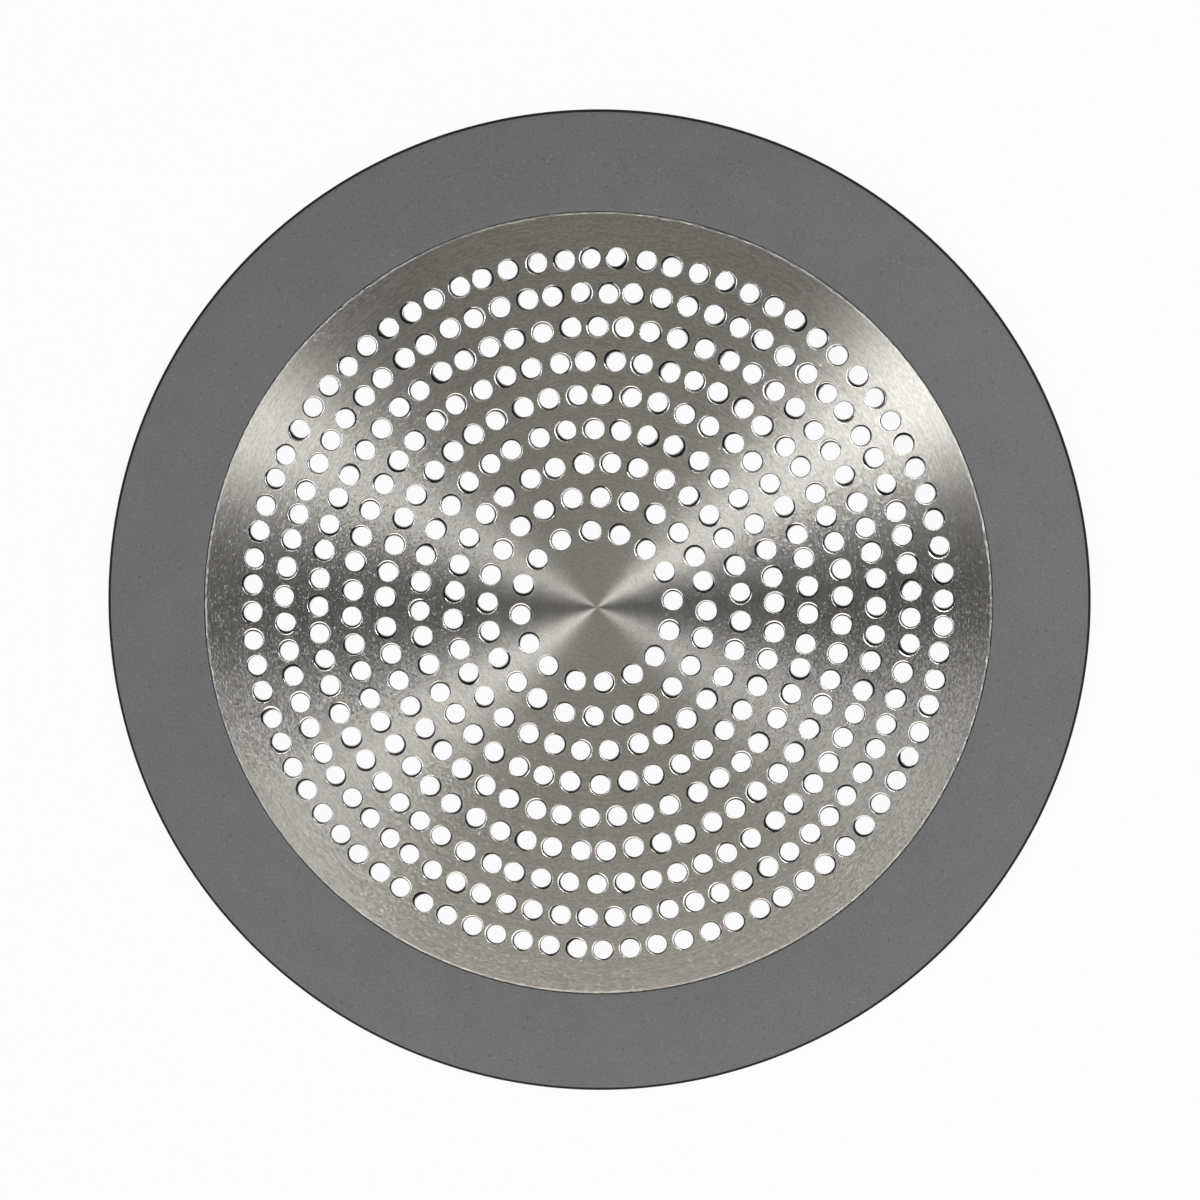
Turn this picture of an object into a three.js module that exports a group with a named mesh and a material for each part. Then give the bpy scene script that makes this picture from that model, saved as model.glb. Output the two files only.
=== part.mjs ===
// Shower drain strainer: a domed stainless steel plate, punched with rings of round holes,
// whose stepped flange is held in the groove of a soft silicone rim that lies on the shower floor.
// Millimetres, +Z up. The origin is on the floor, under the middle of the dome.
import * as THREE from "three";

// Silicone rim
const RIM_WIDTH = 14.8; // of the silicone that shows around the plate
const RIM_EDGE_HEIGHT = 1.4; // at its thin outer edge
const RIM_EDGE_ROUND = 0.4;
const RIM_CROWN = 0.35; // how far the rim's upper face bulges above a straight cone
const RIM_CROWN_STEPS = 4;
const RIM_SHELF = 1.2; // how far the rim reaches in under the plate, past the step's foot
const RIM_SHELF_ROUND = 0.4;
const RIM_SOLE = 0.65; // silicone under the end of the groove
const RIM_SIDES = 96;

// Steel plate
const PLATE_DIAMETER = 116.4; // the steel that shows inside the rim
const PLATE_SIDES = 48;
const SHEET = 0.6;
const SHOULDER_HEIGHT = 4.4; // of the plate's visible edge, above the floor
const DOME_RISE = 4.9; // from the visible edge up to the middle
const DOME_POWER = 4; // the dome is almost flat in the middle and falls away towards its edge

// Hidden flange, stepped down from the plate's visible edge
const STEP_RUN = 0.3;
const STEP_DROP = 1.15;
const FLANGE_WIDTH = 7.5;
const GROOVE_CLEARANCE = 0.3; // between the rim and the steel that it holds

// Punched holes
const HOLE_DIAMETER = 2.8;
const HOLE_SIDES = 6;
const HOLE_WEB = 1.1; // least steel between neighbours in one ring
const RING_WEB = 2.17; // steel between one ring of holes and the next
const RING_GROUP = 8; // each ring's number of holes is a multiple of this
const FIRST_RING_DIAMETER = 22.4;
const PLAIN_BORDER = 5.8; // least unpunched steel around the outermost ring
const FIRST_RING_TURN = 0.24; // of the innermost ring about the axis, in steps from hole to hole
const RING_STAGGER = 0.622; // further turn of each ring past the one inside it, in the same steps

const plateRadius = PLATE_DIAMETER / 2;
const rimRadius = plateRadius + RIM_WIDTH;
const holeRadius = HOLE_DIAMETER / 2;
const footHeight = SHOULDER_HEIGHT - STEP_DROP;
const grooveEndHeight = RIM_SOLE + GROOVE_CLEARANCE + SHEET;
const flangeSlope = (footHeight - grooveEndHeight) / (FLANGE_WIDTH + GROOVE_CLEARANCE);

const steel = new THREE.MeshStandardMaterial({ color: 0xb8b6b0, roughness: 0.35, metalness: 1 });
const silicone = new THREE.MeshStandardMaterial({ color: 0x717171, roughness: 0.75, metalness: 0 });

// Height of the plate's upper face at a distance from the axis.
function domeHeight(radius) {
  return SHOULDER_HEIGHT + DOME_RISE * (1 - (radius / plateRadius) ** DOME_POWER);
}

// Corners of a regular polygon, counterclockwise.
function polygon(radius, sides, turn = 0, centre = new THREE.Vector2()) {
  return Array.from({ length: sides }, (_, i) => {
    const angle = turn + (2 * Math.PI * i) / sides;
    return new THREE.Vector2(Math.cos(angle), Math.sin(angle)).multiplyScalar(radius).add(centre);
  });
}

// Radii of the rings of holes, from the middle out to the plain border.
function ringRadii() {
  const radii = [];
  const last = plateRadius - PLAIN_BORDER - holeRadius;
  for (let radius = FIRST_RING_DIAMETER / 2; radius <= last; radius += HOLE_DIAMETER + RING_WEB) {
    radii.push(radius);
  }
  return radii;
}

// Rings of hole outlines, from the middle outwards. An outline goes counterclockwise from the corner that
// points away from the axis, and has the area of a round hole.
function holeRings() {
  const facet = (2 * Math.PI) / HOLE_SIDES;
  const cornerRadius = holeRadius * Math.sqrt(facet / Math.sin(facet));
  const rings = ringRadii().map((radius, ring) => {
    const groups = Math.floor((2 * Math.PI * radius) / (RING_GROUP * (HOLE_DIAMETER + HOLE_WEB)));
    const count = RING_GROUP * groups;
    const turn = (2 * Math.PI * (FIRST_RING_TURN + ring * RING_STAGGER)) / count;
    return polygon(radius, count, turn).map((centre) =>
      polygon(cornerRadius, HOLE_SIDES, centre.angle(), centre),
    );
  });
  return rings.filter((holes) => holes.length > 0);
}

// Triangles of the band between two rings of points that go counterclockwise round the axis.
function band(inner, outer) {
  const [a, b] = [inner, outer].map((ring) => [...ring].sort((p, q) => p.angle() - q.angle()));
  const at = (ring, i) => ring[i % ring.length];
  const angle = (ring, i) => at(ring, i).angle() + 2 * Math.PI * Math.floor(i / ring.length);
  const triangles = [];
  let i = 0;
  let j = 0;
  while (i < a.length || j < b.length) {
    const onInner = j === b.length || (i < a.length && angle(a, i + 1) < angle(b, j + 1));
    triangles.push([at(a, i), at(b, j), onInner ? at(a, i + 1) : at(b, j + 1)]);
    i += onInner ? 1 : 0;
    j += onInner ? 0 : 1;
  }
  return triangles;
}

// Triangles of the punched field around its holes, from the middle out to its edge.
function fieldTriangles(rings, edge) {
  const quarter = Math.floor(HOLE_SIDES / 4);
  const outerSide = (hole) => [...hole.slice(HOLE_SIDES - quarter), ...hole.slice(0, quarter + 1)];
  const innerSide = (hole) => hole.slice(quarter + 1, HOLE_SIDES - quarter).reverse();

  const middle = rings[0].flatMap(innerSide);
  const triangles = middle.map((p, i) => [new THREE.Vector2(), p, middle[(i + 1) % middle.length]]);
  rings.forEach((holes, ring) => {
    holes.forEach((hole, i) => {
      const next = holes[(i + 1) % holes.length];
      const [a, b] = [outerSide(hole).at(-1), outerSide(next)[0]];
      const [c, d] = [innerSide(next)[0], innerSide(hole).at(-1)];
      triangles.push([a, b, c], [a, c, d]);
    });
    const beyond = rings[ring + 1]?.flatMap(innerSide) ?? edge;
    triangles.push(...band(holes.flatMap(outerSide), beyond));
  });
  return triangles;
}

// A profile moved sideways by a distance, to its right, with mitred corners. Points are (radius, height).
function offsetProfile(points, distance) {
  const normals = points.slice(1).map((p, i) => {
    const along = p.clone().sub(points[i]).normalize();
    return new THREE.Vector2(along.y, -along.x);
  });
  return points.map((p, i) => {
    const before = normals[Math.max(i - 1, 0)];
    const after = normals[Math.min(i, normals.length - 1)];
    const mitre = before.clone().add(after).normalize();
    return p.clone().addScaledVector(mitre, distance / mitre.dot(after));
  });
}

// Upper profile of the plate's unpunched edge: border, visible edge, foot of the step, tip of the flange.
function edgeProfile(flangeWidth) {
  const lastHole = ringRadii().at(-1) + holeRadius;
  const border = (lastHole + plateRadius) / 2;
  const foot = new THREE.Vector2(plateRadius + STEP_RUN, footHeight);
  return [
    new THREE.Vector2(border, domeHeight(border)),
    new THREE.Vector2(plateRadius, SHOULDER_HEIGHT),
    foot,
    new THREE.Vector2(foot.x + flangeWidth, foot.y - flangeWidth * flangeSlope),
  ];
}

// The plate as one sheet: a punched field with the border, step and flange around it.
function strainerPlate() {
  const upperEdge = edgeProfile(FLANGE_WIDTH);
  const lowerEdge = offsetProfile(upperEdge, SHEET);
  lowerEdge[0].set(upperEdge[0].x, upperEdge[0].y - SHEET);

  const corners = [];
  const triangle = (a, b, c) => corners.push(a, b, c);
  const quad = (a, b, c, d) => {
    triangle(a, b, c);
    triangle(a, c, d);
  };
  const raise = (p, depth) => new THREE.Vector3(p.x, p.y, domeHeight(p.length()) - depth);
  const circle = ({ x: radius, y: height }) =>
    polygon(radius, PLATE_SIDES).map((p) => new THREE.Vector3(p.x, p.y, height));
  const wall = (upper, lower) =>
    upper.forEach((p, i) => {
      const next = (i + 1) % upper.length;
      quad(p, lower[i], lower[next], upper[next]);
    });

  // Punched field
  const rings = holeRings();
  for (const [a, b, c] of fieldTriangles(rings, polygon(upperEdge[0].x, PLATE_SIDES))) {
    triangle(raise(a, 0), raise(b, 0), raise(c, 0));
    triangle(raise(c, SHEET), raise(b, SHEET), raise(a, SHEET));
  }
  for (const hole of rings.flat()) {
    const outline = hole.toReversed();
    wall(outline.map((p) => raise(p, 0)), outline.map((p) => raise(p, SHEET)));
  }

  // Border, step and flange
  const upperRings = upperEdge.map(circle);
  const lowerRings = lowerEdge.map(circle);
  for (let ring = 1; ring < upperRings.length; ring++) {
    wall(upperRings[ring - 1], upperRings[ring]);
    wall(lowerRings[ring], lowerRings[ring - 1]);
  }
  wall(upperRings.at(-1), lowerRings.at(-1));

  const geometry = new THREE.BufferGeometry().setFromPoints(corners);
  geometry.computeVertexNormals();
  return geometry;
}

// The rim, turned from its section. The groove follows the plate's own profile at the clearance.
function siliconeRim() {
  const held = edgeProfile(FLANGE_WIDTH + GROOVE_CLEARANCE);
  const [, lip, ceiling, grooveEnd] = offsetProfile(held, -GROOVE_CLEARANCE);
  const [, , shelf, grooveFloorEnd] = offsetProfile(held, SHEET + GROOVE_CLEARANCE);
  const shelfRadius = shelf.x - RIM_SHELF;
  const edgeTop = new THREE.Vector2(rimRadius - RIM_EDGE_ROUND, RIM_EDGE_HEIGHT);
  const crown = edgeTop.clone().add(lip).multiplyScalar(0.5);
  crown.y += 2 * RIM_CROWN;
  const upperFace = new THREE.QuadraticBezierCurve(edgeTop, crown, lip).getPoints(RIM_CROWN_STEPS);

  const section = [
    new THREE.Vector2(shelfRadius + RIM_SHELF_ROUND, 0),
    new THREE.Vector2(rimRadius - RIM_EDGE_ROUND, 0),
    new THREE.Vector2(rimRadius, RIM_EDGE_ROUND),
    new THREE.Vector2(rimRadius, RIM_EDGE_HEIGHT - RIM_EDGE_ROUND),
    ...upperFace,
    ceiling,
    grooveEnd,
    grooveFloorEnd,
    shelf,
    new THREE.Vector2(shelfRadius, shelf.y),
    new THREE.Vector2(shelfRadius, RIM_SHELF_ROUND),
  ];
  section.push(section[0].clone());
  return new THREE.LatheGeometry(section, RIM_SIDES).rotateX(Math.PI / 2);
}

function piece(name, geometry, material) {
  const mesh = new THREE.Mesh(geometry, material);
  mesh.name = name;
  return mesh;
}

const strainer = new THREE.Group();
strainer.add(piece("strainer_plate", strainerPlate(), steel));
strainer.add(piece("silicone_rim", siliconeRim(), silicone));

export default strainer;
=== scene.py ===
"""Looks of the shower drain strainer: a punched dome of brushed steel, held in a soft silicone rim.

Metres, +Z up. The origin is on the floor, under the middle of the dome.
"""
import math

import bpy
import numpy as np
from mathutils import Matrix, Vector


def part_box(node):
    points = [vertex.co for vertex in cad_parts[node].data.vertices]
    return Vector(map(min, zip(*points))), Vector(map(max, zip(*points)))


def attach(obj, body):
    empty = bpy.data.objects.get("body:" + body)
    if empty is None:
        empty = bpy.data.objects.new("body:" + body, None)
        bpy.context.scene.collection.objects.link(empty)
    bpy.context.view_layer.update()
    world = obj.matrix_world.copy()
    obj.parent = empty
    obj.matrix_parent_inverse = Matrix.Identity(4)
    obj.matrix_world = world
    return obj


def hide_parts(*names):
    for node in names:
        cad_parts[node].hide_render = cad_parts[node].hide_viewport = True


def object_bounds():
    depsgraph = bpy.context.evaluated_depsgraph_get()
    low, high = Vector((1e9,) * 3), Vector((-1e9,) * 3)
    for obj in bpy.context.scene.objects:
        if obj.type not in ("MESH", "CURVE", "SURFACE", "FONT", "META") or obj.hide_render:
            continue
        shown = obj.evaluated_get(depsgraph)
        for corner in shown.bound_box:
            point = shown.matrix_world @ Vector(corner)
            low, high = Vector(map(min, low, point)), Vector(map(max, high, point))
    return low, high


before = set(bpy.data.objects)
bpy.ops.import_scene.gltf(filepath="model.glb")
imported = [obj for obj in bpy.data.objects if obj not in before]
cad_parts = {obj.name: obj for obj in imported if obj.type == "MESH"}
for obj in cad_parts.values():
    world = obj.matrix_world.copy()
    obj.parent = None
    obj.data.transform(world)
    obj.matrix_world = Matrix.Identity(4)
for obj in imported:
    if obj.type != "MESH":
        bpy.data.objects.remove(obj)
cad_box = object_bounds()

MM = 0.001

# Sizes read from the solids
RIM_RADIUS = cad_box[1].x
DOME_TOP = cad_box[1].z
FLANGE_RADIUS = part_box("strainer_plate")[1].x

# Steel plate
PLATE_RADIUS = 58.2 * MM  # of the steel that shows inside the rim
SHEET = 0.6 * MM
SHOULDER_HEIGHT = 4.4 * MM  # of the plate's visible edge
DOME_POWER = 4  # the dome is almost flat in the middle and falls away towards its edge
STEP_RUN = 0.3 * MM
STEP_DROP = 1.15 * MM
FLANGE_SLOPE = 0.218
EDGE_SLOPE = 0.33  # of the dome at its visible edge
SHOULDER_ROUND = 0.35 * MM
FOOT_ROUND = 0.3 * MM
TIP_ROUND = 0.2 * MM
PLATE_SEGMENTS = 256
BORDER_STEPS = 4

# Punched holes
HOLE_RADIUS = 1.4 * MM  # at its foot
HOLE_FLARE = 0.08 * MM  # how much wider it is above
HOLE_SIDES = 24
HOLE_WEB = 1.1 * MM  # least steel between neighbours in one ring
RING_STEP = 4.97 * MM
RING_GROUP = 8  # each ring's number of holes is a multiple of this
FIRST_RING_RADIUS = 11.2 * MM
FIRST_RING_TURN = 0.24  # in steps from hole to hole
RING_STAGGER = 0.622  # further turn of each ring, in the same steps
PLAIN_BORDER = 5.8 * MM  # least unpunched steel around the last ring
FIELD_MARGIN = 1.2 * MM  # of even sheet outside the last ring
BURR = 0.07 * MM
HOLE_SEED = 7

# How the punch left each hole. Sides are along X and Y. Spreads are standard deviations, radially and along
# the ring, and chance is cut off at a number of them.
HOLE_WANDER = (0.06 * MM, 0.12 * MM)  # spread of its place
WANDER_CUT = 1.6
LEAN = (0.07 * MM, -0.02 * MM)  # of its foot, on average
LEAN_SPREAD = (0.15 * MM, 0.3 * MM)
LEAN_CUT = 1.3
LEAN_LIMIT = 0.33 * MM
LEAN_SHOWN = 0.16 * MM  # lean that lays its wall open to the light
EDGE_ROUND = 0.15 * MM  # where the sheet is drawn in, before draw and gleam
EDGE_ROUND_RANGE = (0.11 * MM, 0.29 * MM)
EDGE_TILTS = (0, 12, 50, 90)  # of the drawn-in edge's rows, in degrees
DRAW = (-0.02 * MM, 0.02 * MM)  # side where it is drawn in wider, on average
DRAW_SPREAD = 0.03 * MM  # on both sides alike
GLEAM = 0.45  # how far round the edge the painted highlight goes, on average
GLEAM_SIDE = (-0.18, 0.03)  # side where it gleams more, on average
GLEAM_SPREAD = (0.5, 1.0)
GLEAM_FAN = -0.25  # how much more it gleams towards the middle, at the plate's left and right edge
GLEAM_ALONG = 0.6  # how much more it gleams towards its neighbours in the ring, near the X and Y axes
GLEAM_ROUND = 0.08 * MM  # how much wider it is drawn in where it gleams
GLEAM_CUT = 2  # for the draw too
# side facing the key lamp, where the edges get more painted highlight
HIGHLIGHT_SIDE = (-0.71, -0.71)
SIDE_HIGHLIGHT = 0.6  # how much more it gleams just there
HIGHLIGHT_FOCUS = 6
SHADED_WALL_SIDE = (0.0, -0.3)  # side where the wall's broken foot gets more painted shade below the cut
ROUGHNESS = (0.6, 1.65)  # how strong lean and gleam are, from the plate's front to its rear

# Zones that the finish reads, from the upper face down a hole's cut edge to the lower face
UPPER_ZONE = 0.0
DRAWN_ZONE = 0.42
NEXT_ROW = 0.01  # further down the drawn-in edge
EDGE_GLEAM = (0.0, 0.24, 0.13, 0.04)  # how far a gleam lightens each row of the drawn-in edge
WALL_ZONE = 0.46
WALL_GLEAM = 0.26
# how far the wall's broken foot is pushed into painted shade
WALL_SHADE = 0.3
BURR_ZONE = 0.97
LOWER_ZONE = 1.0

# Silicone rim
SHELF_RADIUS = 56.6 * MM  # of its inner edge, under the plate
RIM_EDGE_HEIGHT = 1.4 * MM
RIM_EDGE_ROUND = 0.6 * MM
RIM_SOLE_ROUND = 0.4 * MM
RIM_CROWN = 0.35 * MM  # how far the upper face bulges above a straight cone
RIM_CROWN_STEPS = 12
RIM_FOOT = (0.42 * MM, 0.65 * MM)  # width and height of the thin foot round its edge, a dark band that stands in for the contact shadow
RIM_FOOT_ROUND = 0.06 * MM
RIM_FOOT_SHADE_REACH = (0.1, 1.5)  # how far up the foot's painted contact shadow goes, in foot heights
LIP_ROUND = 0.14 * MM
SEAM_SAG = 0.35 * MM  # how far the seam lies further in on two sides
SEAM_GAP = 0.07 * MM
HELD_WIDTH = 10 * MM  # of the plate's edge that the groove is drawn from
RIM_SEGMENTS = 256

ROUND_STEP = math.radians(12)  # between the points of a rounded corner

# Map of the plate's finish: both faces laid flat, side by side
MAP_NAME = "OFBake"
MAP_RADIUS = 0.29

# Brushed steel. A stroke is how often its noise changes around the circle, and per metre across it.
HAIRLINES = (6.0, 5000.0)
SCRATCHES = (40.0, 5000.0)
FLECKS = (90.0, 4500.0)
SWINGS = (90.0, 6000.0)
STRAYS = (100.0, 5000.0)
OFF_LATTICE = 0.3  # keeps the noise clear of its own lattice
GRAIN_SHARES = (0.25, 0.3, 0.45)  # of hairlines, scratches and flecks
GRAIN_RANGE = (0.42, 0.58)  # that goes from the dark to the light tone
STEEL_TONES = ((0.48, 0.466, 0.43, 1), (0.67, 0.653, 0.61, 1))
STEEL_ROUGHNESS = (0.445, 0.475)
SWING = 0.1  # how far strokes cross the circle
STRAY = 0.55
TANGLE = 9.0  # how far they do on the shoulder
SHOULDER_BAND = (0.5 * MM, 0.25 * MM)  # in from the plate's visible edge
# lighter warm tone painted on the pressed shoulder as a highlight, and how much of it is mixed in
SHOULDER_HIGHLIGHT = (0.85, 0.84, 0.8, 1)
SHOULDER_SHARE = 0.25

# Cut edges: a painted highlight, painted shade on the drawn-in edge, and deeper painted shade at the wall's
# rough broken foot
HIGHLIGHT_TONE = (0.85, 0.84, 0.81)
EDGE_SHADE_TONE = (0.03, 0.03, 0.03)
DEEP_SHADE_TONE = (0.01, 0.01, 0.01)
CUT_STOPS = (  # zone, colour, and how far it covers the brushed steel
    (0.03, HIGHLIGHT_TONE, 0),
    (0.1, HIGHLIGHT_TONE, 1),
    (0.28, HIGHLIGHT_TONE, 1),
    (0.36, EDGE_SHADE_TONE, 1),
    (0.55, EDGE_SHADE_TONE, 1),
    (0.62, DEEP_SHADE_TONE, 1),
    (0.98, DEEP_SHADE_TONE, 1),
)
CUT_ROUGHNESS = (0.85, 0.22)  # of dark and of bright edges

# Silicone, with its grain's changes per metre
SPECKLE_SCALE = 4200.0
DUST_SCALE = 2400.0
CLOUD_SCALE = 180.0
SILICONE_TONES = ((0.113, 0.115, 0.118, 1), (0.25, 0.255, 0.261, 1))
# painted contact shadow on the rim's foot
SILICONE_FOOT_SHADE = (0.01, 0.01, 0.01, 1)
SILICONE_ROUGHNESS = (0.56, 0.66)
FLECK_SHARES = (0.75, 0.25)  # of speckle and cloud
FLECK_TONES = (0.31, 0.69)  # from the dark to the light tone
DUST_RANGE = (0.18, 0.82)
DUST_FOCUS = 5.0  # leaves only the strongest specks
DUST = 0.36

# Studio
WARM = (1, 0.95, 0.87)
FLOOR_HALF = 10.0
FLOOR_DROP = 0.05 * MM
FLOOR_WHITE = 0.95  # share of the floor that is white of itself
ROOM_LIGHT = 0.03
BACKDROP_TOP = (0.16, 0.34)  # where the backdrop fades out, as the sine of its elevation
BACKDROP_FRONT = 0.5  # how much higher it stands in front

# Camera, where the photograph was taken from: above the dome, a little off its axis
CAMERA_DISTANCE = 0.6
CAMERA_TILT = math.radians(3.72)
CAMERA_LEAN = math.radians(1.34)
IMAGE_SIZE = 1200
FOCAL_PIXELS = 4097
DOME_PIXEL = (596.8, 607.2)


def dome_height(radius):
    """Height of the plate's upper face at a distance from the axis."""
    return SHOULDER_HEIGHT + (DOME_TOP - SHOULDER_HEIGHT) * (1 - (radius / PLATE_RADIUS) ** DOME_POWER)


def dome_normals(flat):
    """Normals of the plate's upper face at an array of places seen from above."""
    radius = np.linalg.norm(flat, axis=1)
    rise = DOME_TOP - SHOULDER_HEIGHT
    fall = DOME_POWER * rise * radius ** (DOME_POWER - 2) / PLATE_RADIUS**DOME_POWER
    normals = np.column_stack([flat * fall[:, None], np.ones(len(flat))])
    return normals / np.linalg.norm(normals, axis=1)[:, None]


class Shell:
    """A mesh as it grows: points with normals, and faces that go counterclockwise seen from outside."""

    def __init__(self):
        self.points = []
        self.normals = []
        self.zones = []
        self.ways = []
        self.map_places = []
        self.faces = []
        self.on_lower_map = []

    def add(self, points, normals, zone=UPPER_ZONE, ways=None, map_places=None):
        """Adds points with the zone and the lie of the grain that the finish reads. Gives their numbers."""
        first = len(self.points)
        self.points.extend(points)
        self.normals.extend(normals)
        self.zones.extend(np.broadcast_to(zone, len(points)))
        self.ways.extend(np.zeros((len(points), 3)) if ways is None else ways)
        self.map_places.extend(np.asarray(points)[:, :2] if map_places is None else map_places)
        return list(range(first, len(self.points)))

    def face(self, corners, lower=False):
        self.faces.append(corners[::-1] if lower else corners)
        self.on_lower_map.append(lower)

    def strip(self, row, next_row, lower=False):
        """Faces between two closed rows of as many points."""
        for i in range(len(row)):
            j = (i + 1) % len(row)
            self.faces.append((row[i], row[j], next_row[j], next_row[i]))
            self.on_lower_map.append(lower)

    def build(self, name, material):
        """The finished piece, on the part's only body."""
        mesh = bpy.data.meshes.new(name)
        mesh.from_pydata([tuple(p) for p in self.points], [], self.faces)
        mesh.polygons.foreach_set("use_smooth", [True] * len(self.faces))
        mesh.normals_split_custom_set_from_vertices([tuple(n) for n in self.normals])
        zones = mesh.attributes.new("zone", "FLOAT", "POINT")
        zones.data.foreach_set("value", self.zones)
        ways = mesh.attributes.new("way", "FLOAT_VECTOR", "POINT")
        ways.data.foreach_set("vector", np.ravel(self.ways))
        mesh.materials.append(material)
        piece = bpy.data.objects.new(name, mesh)
        bpy.context.scene.collection.objects.link(piece)
        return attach(piece, "root")

    def lay_map(self, piece):
        """Lays the upper and lower faces flat in opposite corners of one map."""
        reach = max(np.linalg.norm(self.points, axis=1))
        corners = np.concatenate([np.array(face) for face in self.faces])
        lower = np.repeat(self.on_lower_map, [len(face) for face in self.faces])[:, None]
        places = np.where(lower, np.array(self.points)[corners, :2], np.array(self.map_places)[corners])
        middle = np.where(lower, 1 - MAP_RADIUS, MAP_RADIUS)
        uv = piece.data.uv_layers.new(name=MAP_NAME)
        uv.data.foreach_set("uv", (middle + places * MAP_RADIUS / reach).ravel())


def rounded(corners, closed=False):
    """Points of a profile through (radius, height, rounding) corners, and the normals on its right side."""
    spots = np.array([corner[:2] for corner in corners])
    ahead = np.roll(spots, -1, axis=0) - spots
    behind = np.roll(ahead, 1, axis=0)
    if not closed:
        ahead[-1] = behind[-1]
        behind[0] = ahead[0]
    points, normals = [], []
    for spot, arrive, leave, (_, _, rounding) in zip(spots, behind, ahead, corners):
        start = math.atan2(arrive[1], arrive[0])
        turn = math.remainder(math.atan2(leave[1], leave[0]) - start, 2 * math.pi)
        steps = max(2, round(abs(turn) / ROUND_STEP)) if rounding else 0
        side = math.copysign(rounding, turn)
        back = rounding * math.tan(abs(turn) / 2)
        along = np.array([math.cos(start), math.sin(start)])
        centre = spot - back * along + side * np.array([-along[1], along[0]])
        for step in range(steps + 1):
            angle = start + turn * (step / steps if steps else 0.5)
            normal = np.array([math.sin(angle), -math.cos(angle)])
            points.append(centre + side * normal)
            normals.append(normal)
    return points, normals


def moved(points, distance):
    """A profile moved to its right by a distance, with mitred corners."""
    points = np.array(points)
    along = np.diff(points, axis=0)
    along /= np.linalg.norm(along, axis=1)[:, None]
    rights = np.column_stack([along[:, 1], -along[:, 0]])
    before = np.vstack([rights[:1], rights])
    after = np.vstack([rights, rights[-1:]])
    mitres = before + after
    mitres /= np.linalg.norm(mitres, axis=1)[:, None]
    return points + mitres * (distance / np.sum(mitres * after, axis=1))[:, None]


def turned(shell, profile, segments, zones, sags=0.0):
    """Rows of points of a profile turned about the axis, and drawn inwards on two sides where it sags."""
    angles = np.arange(segments) * 2 * math.pi / segments
    cosines, sines = np.cos(angles), np.sin(angles)
    rows = []
    for (radius, height), (out, up), zone, sag in zip(*profile, zones, np.broadcast_to(sags, len(zones))):
        sunk = sag * sines**2
        radii = radius - sunk
        points = np.column_stack([radii * cosines, radii * sines, height + sunk * EDGE_SLOPE])
        normals = np.column_stack([out * cosines, out * sines, np.full(segments, up)])
        rows.append(shell.add(points, normals, zone))
    return rows


# Steel plate


def plate_edge():
    """Upper corners of the plate's edge: visible edge, foot of the step and tip of the flange."""
    foot = (PLATE_RADIUS + STEP_RUN, SHOULDER_HEIGHT - STEP_DROP)
    tip = (FLANGE_RADIUS, foot[1] - (FLANGE_RADIUS - foot[0]) * FLANGE_SLOPE)
    return [(PLATE_RADIUS, SHOULDER_HEIGHT), foot, tip]


def hole_rings():
    """Rings of holes from the middle outwards.

    Each hole is its centre, lean, draw, gleam, and how much painted highlight it gets all round and towards
    its neighbours.
    """
    chance = np.random.default_rng(HOLE_SEED)
    rings = []
    radius = FIRST_RING_RADIUS
    while radius <= PLATE_RADIUS - PLAIN_BORDER - HOLE_RADIUS:
        pitch = 2 * HOLE_RADIUS + HOLE_WEB
        count = RING_GROUP * int(2 * math.pi * radius / (RING_GROUP * pitch))
        turn = FIRST_RING_TURN + RING_STAGGER * len(rings)
        holes = []
        for i in range(count):
            outward, along = np.clip(chance.normal(size=2), -WANDER_CUT, WANDER_CUT) * HOLE_WANDER
            angle = 2 * math.pi * (i + turn) / count + along / radius
            ways = np.array([[math.cos(angle), math.sin(angle)], [-math.sin(angle), math.cos(angle)]])
            centre = (radius + outward) * ways[0]
            rough = np.interp(centre[1], (-PLATE_RADIUS, PLATE_RADIUS), ROUGHNESS)
            stray = np.clip(chance.normal(size=2), -LEAN_CUT, LEAN_CUT)
            lean = np.clip(LEAN + rough * (LEAN_SPREAD * stray) @ ways, -LEAN_LIMIT, LEAN_LIMIT)
            stray = np.clip(chance.normal(size=2), -GLEAM_CUT, GLEAM_CUT)
            draw = DRAW + DRAW_SPREAD * stray
            stray = np.clip(chance.normal(size=2), -GLEAM_CUT, GLEAM_CUT)
            gleam = GLEAM_SIDE + rough * (GLEAM_SPREAD * stray) @ ways
            gleam[0] += GLEAM_FAN * centre[0] / PLATE_RADIUS
            shines = (GLEAM * rough, GLEAM_ALONG * math.cos(2 * angle) ** 2)
            holes.append((centre, lean, draw, gleam, shines))
        rings.append(holes)
        radius += RING_STEP
    return rings


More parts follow.
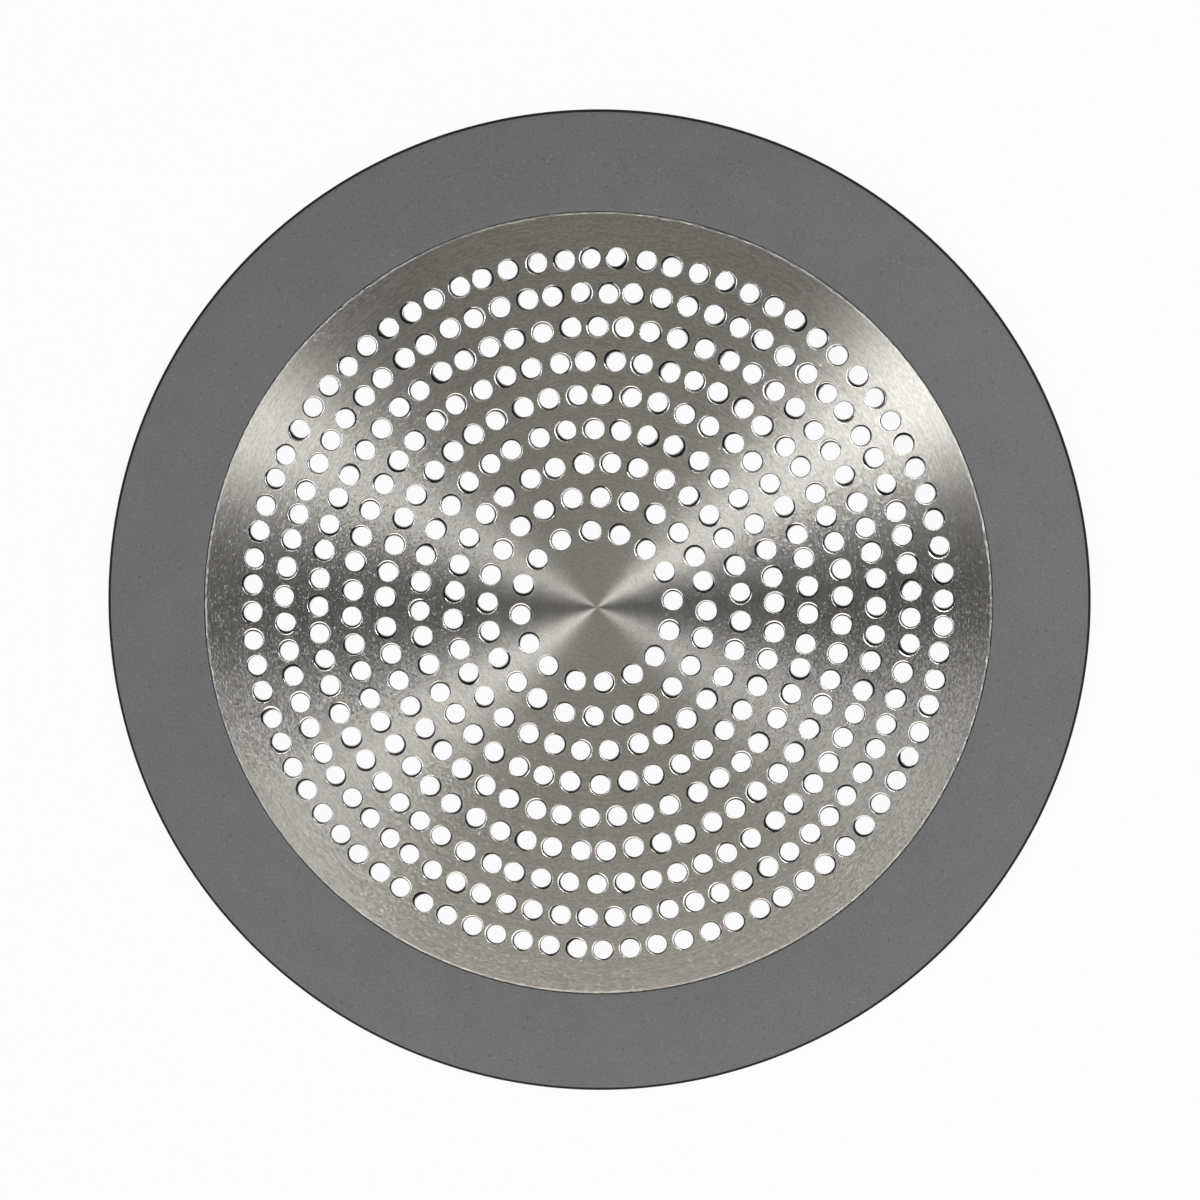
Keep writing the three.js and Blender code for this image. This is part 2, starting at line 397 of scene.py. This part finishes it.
def hole_section(away, lean, draw, gleam, shine):
    """Rows of a hole's cut edge from the upper face down: radii, depths, the normal's tilt inwards, zones."""
    # Painted highlight on the sides chosen to catch the lamps, painted shade on the other sides and at the
    # wall's foot
    side_highlight = SIDE_HIGHLIGHT * np.clip(away @ HIGHLIGHT_SIDE, 0, 1) ** HIGHLIGHT_FOCUS
    bright = np.clip(shine + away @ gleam + side_highlight, 0, 1)
    rounds = np.clip(EDGE_ROUND + away @ draw + GLEAM_ROUND * bright, *EDGE_ROUND_RANGE)
    wall = np.clip(bright - away @ lean / LEAN_SHOWN, 0, 1)
    wall_shade = np.clip(away @ SHADED_WALL_SIDE, 0, 1)
    even = np.ones(len(away))
    section = []
    lights = (bright, bright, bright, wall)
    for step, tilt in enumerate(np.radians(EDGE_TILTS)):
        radii = HOLE_RADIUS + HOLE_FLARE + rounds * (1 - math.sin(tilt))
        zones = (step > 0) * (DRAWN_ZONE + NEXT_ROW * step - EDGE_GLEAM[step] * lights[step])
        section.append((radii, rounds * (1 - math.cos(tilt)), tilt, zones))
    zones = WALL_ZONE - WALL_GLEAM * wall + WALL_SHADE * wall_shade
    section.append((HOLE_RADIUS * even, (SHEET - BURR) * even, math.pi / 2, zones))
    section.append(((HOLE_RADIUS + BURR / 3) * even, (SHEET - BURR / 3) * even, math.pi * 3 / 4, BURR_ZONE))
    section.append(((HOLE_RADIUS + BURR) * even, SHEET * even, math.pi, LOWER_ZONE))
    return section


def punched_hole(shell, centre, lean, draw, gleam, shines):
    """One hole's cut edge. Gives its outlines on the upper and the lower face."""
    facing = math.atan2(centre[1], centre[0])
    angles = facing + np.arange(HOLE_SIDES) * 2 * math.pi / HOLE_SIDES
    away = np.column_stack([np.cos(angles), np.sin(angles)])
    along = np.column_stack([-away[:, 1], away[:, 0], np.zeros(HOLE_SIDES)])
    slope = (HOLE_FLARE - away @ lean) / SHEET
    inward = np.column_stack([-away, slope])
    inward /= np.linalg.norm(inward, axis=1)[:, None]
    shine = shines[0] + shines[1] * np.sin(angles - facing) ** 2
    section = hole_section(away, lean, draw, gleam, shine)
    last_radii, last_depths = section[0][:2]
    map_radii = last_radii
    rows = []
    for radii, depths, tilt, zone in section:
        flat = centre + depths[:, None] * lean / SHEET + radii[:, None] * away
        heights = dome_height(np.linalg.norm(flat, axis=1)) - depths
        normals = math.cos(tilt) * dome_normals(flat) + math.sin(tilt) * inward
        map_radii = map_radii - np.hypot(radii - last_radii, depths - last_depths)
        last_radii, last_depths = radii, depths
        map_places = centre + map_radii[:, None] * away
        rows.append(shell.add(np.column_stack([flat, heights]), normals, zone, along, map_places))
    for row, next_row in zip(rows, rows[1:]):
        shell.strip(row, next_row)
    return rows[0], rows[-1]


def zipped(shell, inner, outer, lower):
    """Triangles between two rings of points with different counts."""

    def by_angle(ring):
        angles = [math.atan2(shell.points[p][1], shell.points[p][0]) for p in ring]
        order = np.argsort(angles)
        first = order[0]
        around = [(angles[k], ring[k]) for k in order]
        return around + [(angles[first] + 2 * math.pi, ring[first])]

    a, b = by_angle(inner), by_angle(outer)
    i = j = 0
    while i < len(a) - 1 or j < len(b) - 1:
        on_inner = j == len(b) - 1 or (i < len(a) - 1 and a[i + 1][0] < b[j + 1][0])
        ahead = a[i + 1] if on_inner else b[j + 1]
        shell.face((a[i][1], b[j][1], ahead[1]), lower)
        i += on_inner
        j += not on_inner


def punched_field(shell, rings, middle, edge, lower):
    """The sheet around the holes' outlines, ring by ring from the middle out to the field's edge."""
    quarter = HOLE_SIDES // 4

    def outer_side(hole):
        return hole[-quarter:] + hole[: quarter + 1]

    def inner_side(hole):
        return hole[quarter + 1 : -quarter][::-1]

    first = [p for hole in rings[0] for p in inner_side(hole)]
    for i, p in enumerate(first):
        shell.face((middle, p, first[(i + 1) % len(first)]), lower)
    for k, holes in enumerate(rings):
        for i, hole in enumerate(holes):
            following = holes[(i + 1) % len(holes)]
            inner = (inner_side(following)[0], inner_side(hole)[-1])
            shell.face((outer_side(hole)[-1], outer_side(following)[0], *inner), lower)
        beyond = [p for hole in rings[k + 1] for p in inner_side(hole)] if k + 1 < len(rings) else edge
        zipped(shell, [p for hole in holes for p in outer_side(hole)], beyond, lower)


def strainer_plate(material):
    """The plate as one closed sheet: punched dome, border, step and hidden flange."""
    shell = Shell()
    rings = hole_rings()
    outlines = [[punched_hole(shell, *hole) for hole in holes] for holes in rings]

    last_ring = FIRST_RING_RADIUS + RING_STEP * (len(rings) - 1)
    field_radius = last_ring + HOLE_RADIUS + FIELD_MARGIN
    border = np.linspace(field_radius, PLATE_RADIUS, BORDER_STEPS, endpoint=False)
    dome = [(radius, dome_height(radius)) for radius in border]
    upper = dome + plate_edge()
    lower = moved(upper, SHEET)
    lower[0] = (field_radius, dome_height(field_radius) - SHEET)
    smooth = [0.0] * BORDER_STEPS
    rounds = smooth + [SHOULDER_ROUND, FOOT_ROUND, TIP_ROUND]
    corners = [(*p, rounding) for p, rounding in zip(lower, smooth + [FOOT_ROUND, SHOULDER_ROUND, TIP_ROUND])]
    corners += [(*p, rounding) for p, rounding in zip(upper[::-1], rounds[::-1])]
    profile = rounded(corners)
    tip = int(np.argmax([radius for radius, _ in profile[0]]))
    zones = [LOWER_ZONE if i < tip else UPPER_ZONE for i in range(len(profile[0]))]
    above = SHOULDER_HEIGHT - SHEET - SHOULDER_ROUND
    on_shoulder = [abs(radius - PLATE_RADIUS) < SHEET and height > above for radius, height in profile[0]]
    rows = turned(shell, profile, PLATE_SEGMENTS, zones, SEAM_SAG * np.array(on_shoulder))
    for i in range(len(rows) - 1):
        shell.strip(rows[i], rows[i + 1], lower=i < tip)

    middle, = shell.add([(0, 0, DOME_TOP)], [(0, 0, 1)])
    underside, = shell.add([(0, 0, DOME_TOP - SHEET)], [(0, 0, -1)], LOWER_ZONE)
    punched_field(shell, [[pair[0] for pair in holes] for holes in outlines], middle, rows[-1], False)
    punched_field(shell, [[pair[1] for pair in holes] for holes in outlines], underside, rows[0], True)

    plate = shell.build("dressed_plate", material)
    shell.lay_map(plate)
    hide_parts("strainer_plate")
    return plate


# Silicone rim


def silicone_rim(material):
    """The rim, turned from its section, with a groove that follows the plate's edge."""
    held_from = FLANGE_RADIUS - HELD_WIDTH
    held = [(held_from, dome_height(held_from))] + plate_edge()
    _, lip, ceiling, groove_end = moved(held, -SEAM_GAP)
    _, _, shelf, floor_end = moved(held, SHEET + SEAM_GAP)
    groove_end[0] += SEAM_GAP
    floor_end[0] += SEAM_GAP
    under_lip = lip.copy()
    lip[1] += LIP_ROUND

    foot_width, foot_height = RIM_FOOT
    edge = np.array([RIM_RADIUS - foot_width, RIM_EDGE_HEIGHT])
    crown = (edge + lip) / 2 + (0, 2 * RIM_CROWN)
    face = []
    for step in range(1, RIM_CROWN_STEPS):
        t = step / RIM_CROWN_STEPS
        face.append((*((1 - t) ** 2 * edge + 2 * t * (1 - t) * crown + t**2 * lip), 0.0))

    section = [
        (SHELF_RADIUS, 0.0, RIM_SOLE_ROUND),
        (RIM_RADIUS, 0.0, RIM_FOOT_ROUND),
        (RIM_RADIUS, foot_height, RIM_FOOT_ROUND),
        (edge[0], foot_height, RIM_FOOT_ROUND),
        (*edge, RIM_EDGE_ROUND),
        *face,
        (*lip, LIP_ROUND),
        (*under_lip, 0.0),
        (*ceiling, SEAM_GAP),
        (*groove_end, SEAM_GAP),
        (*floor_end, SEAM_GAP),
        (*shelf, SEAM_GAP),
        (SHELF_RADIUS, shelf[1], RIM_SOLE_ROUND),
    ]
    shell = Shell()
    profile = rounded(section, closed=True)
    inside = edge[0] - RIM_FOOT_ROUND
    shade_from, shade_to = foot_height * np.array(RIM_FOOT_SHADE_REACH)
    zones, sags = [], []
    # The foot's band of painted contact shadow
    for radius, height in profile[0]:
        in_foot_shade = radius > inside and shade_from < height < shade_to
        on_lip = height > under_lip[1] - LIP_ROUND and radius < lip[0] + LIP_ROUND
        zones.append(float(in_foot_shade))
        sags.append(SEAM_SAG * on_lip)
    rows = turned(shell, profile, RIM_SEGMENTS, zones, sags)
    for row, next_row in zip(rows, rows[1:] + rows[:1]):
        shell.strip(row, next_row)
    rim = shell.build("dressed_rim", material)
    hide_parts("silicone_rim")
    return rim


# Materials


def add_node(tree, kind, inputs=None, **settings):
    """A node with its settings, and its inputs as values or as the sockets that feed them."""
    node = tree.nodes.new(kind)
    for name, value in settings.items():
        setattr(node, name, value)
    for key, value in (inputs or {}).items():
        if isinstance(value, bpy.types.NodeSocket):
            tree.links.new(value, node.inputs[key])
        else:
            node.inputs[key].default_value = value
    return node


def new_material(name):
    """A material with a fresh principled shader."""
    material = bpy.data.materials.new(name)
    material.use_nodes = True
    tree = material.node_tree
    return material, tree, tree.nodes["Principled BSDF"]


def vector_math(tree, operation, *inputs):
    node = add_node(tree, "ShaderNodeVectorMath", dict(enumerate(inputs)), operation=operation)
    return node.outputs["Value" if operation in ("LENGTH", "DOT_PRODUCT") else "Vector"]


def scaled(tree, vector, factor):
    node = add_node(tree, "ShaderNodeVectorMath", {"Vector": vector, "Scale": factor}, operation="SCALE")
    return node.outputs["Vector"]


def math_node(tree, operation, *inputs):
    return add_node(tree, "ShaderNodeMath", dict(enumerate(inputs)), operation=operation).outputs[0]


def noise(tree, place, scale, detail=2.0):
    node = add_node(tree, "ShaderNodeTexNoise", {"Vector": place, "Scale": scale, "Detail": detail})
    return node.outputs["Fac"]


def weighted(tree, *shares):
    """The sum of values, each times its weight."""
    total = 0.0
    for value, weight in shares:
        total = math_node(tree, "MULTIPLY_ADD", value, weight, total)
    return total


def mixed(tree, share, first, second):
    """A colour between two colours."""
    node = add_node(tree, "ShaderNodeMix", {"Factor": share}, data_type="RGBA")
    for socket, colour in zip((node.inputs[6], node.inputs[7]), (first, second)):
        if isinstance(colour, bpy.types.NodeSocket):
            tree.links.new(colour, socket)
        else:
            socket.default_value = colour
    return node.outputs[2]


def spread(tree, value, low, high, start=0.3, end=0.7):
    """A noise value stretched to a range."""
    inputs = {"Value": value, "From Min": start, "From Max": end, "To Min": low, "To Max": high}
    return add_node(tree, "ShaderNodeMapRange", inputs).outputs["Result"]


def brushed_steel():
    """Stainless steel brushed in circles round the axis, with a painted highlight on its shoulder, and
    painted highlights and painted shade on the holes' cut edges.
    """
    material, tree, shader = new_material("brushed_steel")
    place = add_node(tree, "ShaderNodeTexCoord").outputs["Object"]
    flat = vector_math(tree, "MULTIPLY", place, (1, 1, 0))
    radius = vector_math(tree, "LENGTH", flat)
    outward = vector_math(tree, "NORMALIZE", flat)
    around = vector_math(tree, "CROSS_PRODUCT", (0, 0, 1), outward)

    def brushing(stroke):
        """Noise in arcs round the axis."""
        arc, fineness = stroke
        depth = math_node(tree, "MULTIPLY", radius, fineness)
        across = add_node(tree, "ShaderNodeCombineXYZ", {"X": OFF_LATTICE, "Y": OFF_LATTICE, "Z": depth})
        stretched = vector_math(tree, "MULTIPLY", outward, (arc, arc, arc))
        return noise(tree, vector_math(tree, "ADD", stretched, across.outputs[0]), 1.0)

    scratches = brushing(SCRATCHES)
    grain = weighted(tree, *zip((brushing(HAIRLINES), scratches, brushing(FLECKS)), GRAIN_SHARES))

    # Where the strokes of the brush cross the circle a little, the gleam shifts sideways. On the pressed
    # shoulder at the plate's edge they lie all ways.
    aside = math_node(tree, "POWER", add_node(tree, "ShaderNodeSeparateXYZ", {0: outward}).outputs["Y"], 2.0)
    seam = math_node(tree, "MULTIPLY_ADD", aside, SEAM_SAG, radius)
    shoulder_from, shoulder_to = (PLATE_RADIUS - inset for inset in SHOULDER_BAND)
    shoulder = spread(tree, seam, 0.0, 1.0, start=shoulder_from, end=shoulder_to)
    swing = spread(tree, brushing(SWINGS), -1.0, 1.0)
    stray = math_node(tree, "POWER", spread(tree, brushing(STRAYS), -1.0, 1.0), 3.0)
    sway = weighted(tree, (swing, SWING), (stray, STRAY))
    tangle = math_node(tree, "MULTIPLY_ADD", scratches, 2 * TANGLE, -TANGLE)
    sway = math_node(tree, "MULTIPLY_ADD", tangle, shoulder, sway)
    brushed = vector_math(tree, "ADD", outward, scaled(tree, around, sway))

    tone = spread(tree, grain, 0.0, 1.0, *GRAIN_RANGE)
    steel = mixed(tree, tone, *STEEL_TONES)
    # painted highlight along the shoulder
    steel = mixed(tree, math_node(tree, "MULTIPLY", shoulder, SHOULDER_SHARE), steel, SHOULDER_HIGHLIGHT)

    # A hole's drawn-in edge gets painted shade on some sides and a painted highlight on others, and the
    # broken foot below gets painted shade
    zone = add_node(tree, "ShaderNodeAttribute", attribute_name="zone").outputs["Fac"]
    cut = add_node(tree, "ShaderNodeValToRGB", {"Fac": zone})
    ramp = cut.color_ramp
    ramp.elements[0].color = (*HIGHLIGHT_TONE, 0)
    ramp.elements[1].color = (*DEEP_SHADE_TONE, 0)
    for position, colour, cover in CUT_STOPS:
        ramp.elements.new(position).color = (*colour, cover)
    cover = cut.outputs["Alpha"]
    colour = mixed(tree, cover, steel, cut.outputs["Color"])
    dulled = spread(tree, cut.outputs["Color"], *CUT_ROUGHNESS, start=0.0, end=0.5)
    roughness = spread(tree, cover, spread(tree, grain, *STEEL_ROUGHNESS), dulled, start=0.0, end=1.0)
    way = add_node(tree, "ShaderNodeAttribute", attribute_name="way").outputs["Vector"]
    plain = scaled(tree, brushed, math_node(tree, "SUBTRACT", 1.0, cover))
    tangent = vector_math(tree, "NORMALIZE", vector_math(tree, "ADD", plain, scaled(tree, way, cover)))
    bump = add_node(tree, "ShaderNodeBump", {"Strength": 0.07, "Distance": 0.02 * MM, "Height": grain})

    shader.inputs["Metallic"].default_value = 1.0
    shader.inputs["Anisotropic"].default_value = 1.0
    tree.links.new(colour, shader.inputs["Base Color"])
    tree.links.new(roughness, shader.inputs["Roughness"])
    tree.links.new(tangent, shader.inputs["Tangent"])
    tree.links.new(bump.outputs["Normal"], shader.inputs["Normal"])
    return material


def silicone():
    """Matt grey silicone with a fine speckled grain, and painted contact shadow on its thin foot."""
    material, tree, shader = new_material("silicone")
    place = add_node(tree, "ShaderNodeTexCoord").outputs["Object"]
    speckle = noise(tree, place, SPECKLE_SCALE, 1.0)
    cloud = noise(tree, place, CLOUD_SCALE, 3.0)
    fleck = weighted(tree, *zip((speckle, cloud), FLECK_SHARES))
    specks = spread(tree, noise(tree, place, DUST_SCALE, 0.0), -1.0, 1.0, *DUST_RANGE)
    dust = math_node(tree, "POWER", specks, DUST_FOCUS)
    share = weighted(tree, (spread(tree, fleck, *FLECK_TONES), 1.0), (dust, DUST))
    grey = mixed(tree, share, *SILICONE_TONES)
    # painted contact shadow on the rim's foot
    foot = add_node(tree, "ShaderNodeAttribute", attribute_name="zone").outputs["Fac"]
    colour = mixed(tree, foot, grey, SILICONE_FOOT_SHADE)
    bump = add_node(tree, "ShaderNodeBump", {"Strength": 0.25, "Distance": 0.03 * MM, "Height": speckle})
    shader.inputs["Specular IOR Level"].default_value = 0.5
    tree.links.new(colour, shader.inputs["Base Color"])
    tree.links.new(spread(tree, speckle, *SILICONE_ROUGHNESS), shader.inputs["Roughness"])
    tree.links.new(bump.outputs["Normal"], shader.inputs["Normal"])
    return material


# Studio


def shown_rays(tree):
    """1 for rays that show a surface: to the camera, in a reflection or through glass."""
    path = add_node(tree, "ShaderNodeLightPath").outputs
    seen = math_node(tree, "MAXIMUM", path["Is Camera Ray"], path["Is Glossy Ray"])
    return math_node(tree, "MAXIMUM", seen, path["Is Transmission Ray"])


def studio_floor():
    """A white floor that still takes the object's shadow."""
    material = bpy.data.materials.new("white_floor")
    material.use_nodes = True
    tree = material.node_tree
    tree.nodes.clear()
    matt = add_node(tree, "ShaderNodeBsdfDiffuse", {"Color": (0.8, 0.8, 0.8, 1)})
    white = add_node(tree, "ShaderNodeEmission", {"Color": (1, 1, 1, 1), "Strength": 1.0})
    share = math_node(tree, "MULTIPLY", shown_rays(tree), FLOOR_WHITE)
    mix = add_node(tree, "ShaderNodeMixShader", {0: share, 1: matt.outputs[0], 2: white.outputs[0]})
    add_node(tree, "ShaderNodeOutputMaterial", {"Surface": mix.outputs[0]})

    mesh = bpy.data.meshes.new("floor")
    ways = ((-1, -1), (1, -1), (1, 1), (-1, 1))
    mesh.from_pydata([(FLOOR_HALF * x, FLOOR_HALF * y, -FLOOR_DROP) for x, y in ways], [], [(0, 1, 2, 3)])
    mesh.materials.append(material)
    floor = bpy.data.objects.new("floor", mesh)
    bpy.context.scene.collection.objects.link(floor)


def studio_world():
    """Dim even light, with a white backdrop standing low around the floor, and higher in front."""
    world = bpy.data.worlds.new("studio")
    world.use_nodes = True
    bpy.context.scene.world = world
    tree = world.node_tree
    tree.nodes.clear()
    direction = add_node(tree, "ShaderNodeTexCoord").outputs["Generated"]
    around = vector_math(tree, "DOT_PRODUCT", direction, (0, 0, 1))
    ahead = vector_math(tree, "DOT_PRODUCT", direction, (0, BACKDROP_FRONT, 1))
    height = math_node(tree, "MINIMUM", around, ahead)
    backdrop = spread(tree, height, 1.0, 0.0, *BACKDROP_TOP)
    shown = math_node(tree, "MULTIPLY", shown_rays(tree), backdrop)
    room = add_node(tree, "ShaderNodeBackground", {"Color": (1, 1, 1, 1), "Strength": ROOM_LIGHT})
    white = add_node(tree, "ShaderNodeBackground", {"Color": (1, 1, 1, 1), "Strength": 1.0})
    mix = add_node(tree, "ShaderNodeMixShader", {0: shown, 1: room.outputs[0], 2: white.outputs[0]})
    add_node(tree, "ShaderNodeOutputWorld", {"Surface": mix.outputs[0]})


def studio_lamp(name, azimuth, elevation, width, height, power, colour=(1, 1, 1), distance=1.0):
    """A soft box that faces the dome. Azimuth counts from +X towards +Y."""
    lamp = bpy.data.lights.new(name, "AREA")
    lamp.shape = "RECTANGLE"
    lamp.size = width
    lamp.size_y = height
    lamp.energy = power
    lamp.color = colour
    azimuth, elevation = math.radians(azimuth), math.radians(elevation)
    level = math.cos(elevation)
    towards = Vector((level * math.cos(azimuth), level * math.sin(azimuth), math.sin(elevation)))
    box = bpy.data.objects.new(name, lamp)
    box.location = Vector((0, 0, DOME_TOP)) + towards * distance
    box.rotation_euler = towards.to_track_quat("Z", "Y").to_euler()
    bpy.context.scene.collection.objects.link(box)


def studio_camera():
    """The camera at the photograph's place."""
    camera = bpy.data.cameras.new("camera")
    camera.lens = FOCAL_PIXELS / IMAGE_SIZE * camera.sensor_width
    camera.shift_x = (IMAGE_SIZE / 2 - DOME_PIXEL[0]) / IMAGE_SIZE
    camera.shift_y = (DOME_PIXEL[1] - IMAGE_SIZE / 2) / IMAGE_SIZE
    camera.clip_start = 0.01
    stand = bpy.data.objects.new("camera", camera)
    turn = Matrix.Rotation(-CAMERA_TILT, 4, "X") @ Matrix.Rotation(CAMERA_LEAN, 4, "Y")
    away = Matrix.Translation((0, 0, CAMERA_DISTANCE))
    stand.matrix_world = Matrix.Translation((0, 0, DOME_TOP)) @ turn @ away
    bpy.context.scene.collection.objects.link(stand)
    bpy.context.scene.camera = stand


strainer_plate(brushed_steel())
silicone_rim(silicone())

studio_camera()
studio_floor()
studio_world()
studio_lamp("key_lamp", azimuth=30, elevation=47, width=0.24, height=0.5, power=3.65)
studio_lamp("second_lamp", azimuth=157.5, elevation=47, width=0.2, height=0.5, power=2.2)
studio_lamp("front_lamp", azimuth=270, elevation=43, width=1.2, height=0.5, power=3.1, colour=WARM)
studio_lamp("rear_lamp", azimuth=90, elevation=36, width=0.9, height=0.4, power=0.4, colour=WARM)
studio_lamp("left_fill", azimuth=214, elevation=28, width=0.7, height=0.3, power=1.4)
studio_lamp("right_fill", azimuth=328, elevation=28, width=0.7, height=0.3, power=1.4)

bpy.context.scene.view_settings.view_transform = "Standard"
